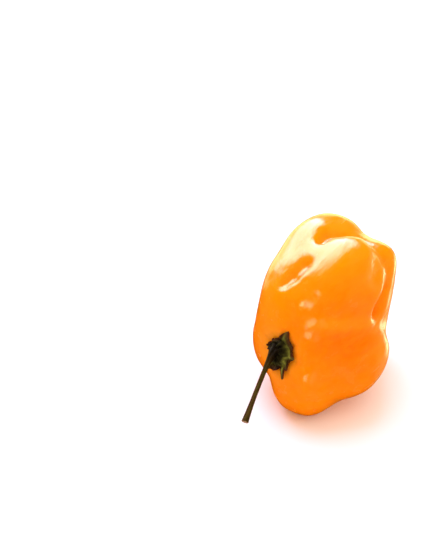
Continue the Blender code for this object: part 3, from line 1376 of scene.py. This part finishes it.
@dataclass(frozen=True)
class PhotoCamera:
    """The photograph's camera: its frame and the pod's place in it in pixels, and its angles in degrees.

    Its aim is brought onto the pod's pixel in a number of rounds.
    """

    frame_width: int = 425
    frame_height: int = 535
    subject_x: float = 321.0
    subject_y: float = 313.0
    focal_pixels: float = 800.0
    pixels_to_the_millimetre: float = 3.8
    azimuth: float = 25.0
    elevation: float = 35.0
    film: float = 36.0
    near_clip: float = 0.01
    rounds: int = 30

    def turned(self, yaw: float, pitch: float) -> Matrix:
        """The camera's directions right, up and back, with no roll.

        Args:
            yaw: its turn about the upright axis, in radians.
            pitch: how far it looks up, in radians.

        Returns:
            The three directions, as columns.
        """
        flat = math.cos(pitch)
        ahead = Vector((-math.sin(yaw) * flat, math.cos(yaw) * flat, math.sin(pitch)))
        right = Vector((math.cos(yaw), math.sin(yaw), 0))
        return Matrix((right, right.cross(ahead), -ahead)).transposed()

    def make(self, subject: Vector) -> bpy.types.Object:
        """Set up the camera so that the subject falls on its pixel.

        Args:
            subject: the pod's middle.

        Returns:
            The camera, made the scene's own.
        """
        azimuth, elevation = math.radians(self.azimuth), math.radians(self.elevation)
        flat = math.cos(elevation)
        back = Vector((math.sin(azimuth) * flat, -math.cos(azimuth) * flat, math.sin(elevation)))
        want_x = (self.subject_x - self.frame_width / 2) / self.focal_pixels
        want_y = (self.frame_height / 2 - self.subject_y) / self.focal_pixels
        yaw, pitch = azimuth, -elevation
        for _ in range(self.rounds):
            seen = self.turned(yaw, pitch).transposed() @ (-back)
            yaw -= seen.x / -seen.z - want_x
            pitch += seen.y / -seen.z - want_y
        lens = bpy.data.cameras.new("photo_camera")
        lens.sensor_width = self.film
        lens.lens = self.focal_pixels / self.frame_height * self.film
        lens.clip_start = self.near_clip
        camera = bpy.data.objects.new("photo_camera", lens)
        bpy.context.scene.collection.objects.link(camera)
        place = subject + back * (self.focal_pixels / self.pixels_to_the_millimetre * MM)
        camera.matrix_world = Matrix.Translation(place) @ self.turned(yaw, pitch).to_4x4()
        bpy.context.scene.camera = camera
        return camera


@dataclass(frozen=True)
class Panel:
    """A soft panel seen in the shine: where it is, its heart and its faded edge in degrees, and its light."""

    direction: Point
    heart: float
    edge: float
    light: Colour

    def cosines(self) -> Range:
        """The cosines of its edge and of its heart."""
        return math.cos(math.radians(self.edge)), math.cos(math.radians(self.heart))


class RoomSheet(Sheet):
    """The sheet of the room round the scene."""

    def __init__(self, world: bpy.types.World) -> None:
        """Open the room's sheet.

        Args:
            world: the room.
        """
        super().__init__(world)
        self.ray = self.nodes.new("ShaderNodeTexCoord").outputs["Generated"]
        self.path = self.nodes.new("ShaderNodeLightPath")

    def toward(self, direction: Point, low: float, high: float) -> Socket:
        """How much a ray is turned toward a direction.

        Args:
            direction: the direction.
            low: the cosine of the angle to it at which it starts.
            high: the cosine of the angle to it at which it is full.

        Returns:
            A number from 0 to 1.
        """
        dot = self.nodes.new("ShaderNodeVectorMath")
        dot.operation = "DOT_PRODUCT"
        dot.inputs[1].default_value = Vector(direction).normalized()
        self.links.new(self.ray, dot.inputs[0])
        return self.span(dot.outputs["Value"], low, high)


@dataclass
class Studio:
    """A white table under soft light from the upper left, in a room that is brightest behind the pepper.

    The room's shine is dark but for a low warm horizon behind the pepper and the panels. Each range is of
    cosines of the angle to a direction.
    """

    floor_side: float = 3.0
    floor_level: float = -0.03 * MM
    window: Point = (0.30, 0.85, 0.35)
    window_range: Range = (-0.6, 0.7)
    room_front: Colour = (1.08, 0.74, 0.46)
    room_back: Colour = (1.5, 1.34, 1.22)
    white: Colour = (1.0, 1.0, 1.0)
    horizon: Colour = (0.5, 0.38, 0.15)
    horizon_width: Range = (0.50, 0.80)
    horizon_top: Range = (0.0, 0.35)
    gloom: Colour = (0.005, 0.005, 0.005)
    panels: tuple[Panel, ...] = (
        Panel((-0.60, 0.42, 0.68), 7, 26, (12.5, 11.8, 16.0)),
        Panel((-0.50, 0.62, 0.60), 6, 26, (12.0, 11.0, 15.0)),
        Panel((-0.76, 0.48, 0.40), 6, 25, (9.0, 8.4, 10.0)),
        Panel((-0.80, 0.58, 0.02), 10, 24, (3.0, 2.8, 1.6)),
        Panel((-0.33, 0.94, -0.06), 6, 19, (2.6, 2.1, 1.1)),
        Panel((0.20, 0.91, -0.37), 5, 14, (3.8, 3.2, 1.9)),
        Panel((0.02, -0.76, 0.65), 3, 10, (11.0, 10.0, 10.0)),
        Panel((0.36, -0.92, 0.02), 2, 11, (7.5, 6.8, 6.2)),
        Panel((0.74, -0.66, -0.02), 3, 14, (1.6, 1.3, 0.8)),
    )
    key_light: Softbox = Softbox("key_light", (-0.48, 0.22, 0.85), 50, 1.5, (0.9, 0.95, 1.7))

    def floor(self) -> bpy.types.Object:
        """Lay the table top, which isn't part of the pepper and is kept out of its shine.

        Returns:
            The table top's object.
        """
        half, level = self.floor_side / 2, self.floor_level
        corners = [(-half, -half, level), (half, -half, level), (half, half, level), (-half, half, level)]
        mesh = bpy.data.meshes.new("table_top")
        mesh.from_pydata(corners, [], [(0, 1, 2, 3)])
        mesh.materials.append(FloorFinish().material())
        table = bpy.data.objects.new("table_top", mesh)
        bpy.context.scene.collection.objects.link(table)
        table.visible_glossy = False
        return table

    def room(self) -> None:
        """Fill the room with light: bright behind, softer in front, white to look at, dark in the shine."""
        world = bpy.data.worlds.new("studio_room")
        bpy.context.scene.world = world
        sheet = RoomSheet(world)
        shading = sheet.blend(sheet.toward(self.window, *self.window_range), self.room_front, self.room_back)
        behind = sheet.blend(sheet.toward(AHEAD, *self.horizon_width), self.gloom, self.horizon)
        shine = sheet.blend(sheet.toward(UP, *self.horizon_top), behind, self.gloom)
        for panel in self.panels:
            shine = sheet.blend(sheet.toward(panel.direction, *panel.cosines()), shine, panel.light)
        colour = sheet.blend(sheet.path.outputs["Is Glossy Ray"], shading, shine)
        colour = sheet.blend(sheet.path.outputs["Is Camera Ray"], colour, self.white)
        sheet.links.new(colour, sheet.nodes["Background"].inputs["Color"])
        world.cycles.sampling_method = "NONE"

    def make(self) -> None:
        """Set up the table, the room and the light, with colours shown as they are."""
        self.floor()
        self.room()
        self.key_light.make()
        bpy.context.scene.view_settings.view_transform = "Standard"


def main() -> None:
    """Set up the camera and the studio, and make each piece."""
    logging.basicConfig(level=logging.INFO, format="%(name)s: %(message)s")
    form = PodForm()
    middle = Vector((0, 0, form.height))
    PhotoCamera().make(middle)
    Studio().make()
    for piece in (PodPiece(form=form), CalyxPiece(form=form), StalkPiece(form=form)):
        made = piece.make()
        LOG.info("%s: %d faces", made.name, len(made.data.polygons))
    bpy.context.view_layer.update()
    LOG.info("sizes written")


if __name__ == "__main__":
    main()
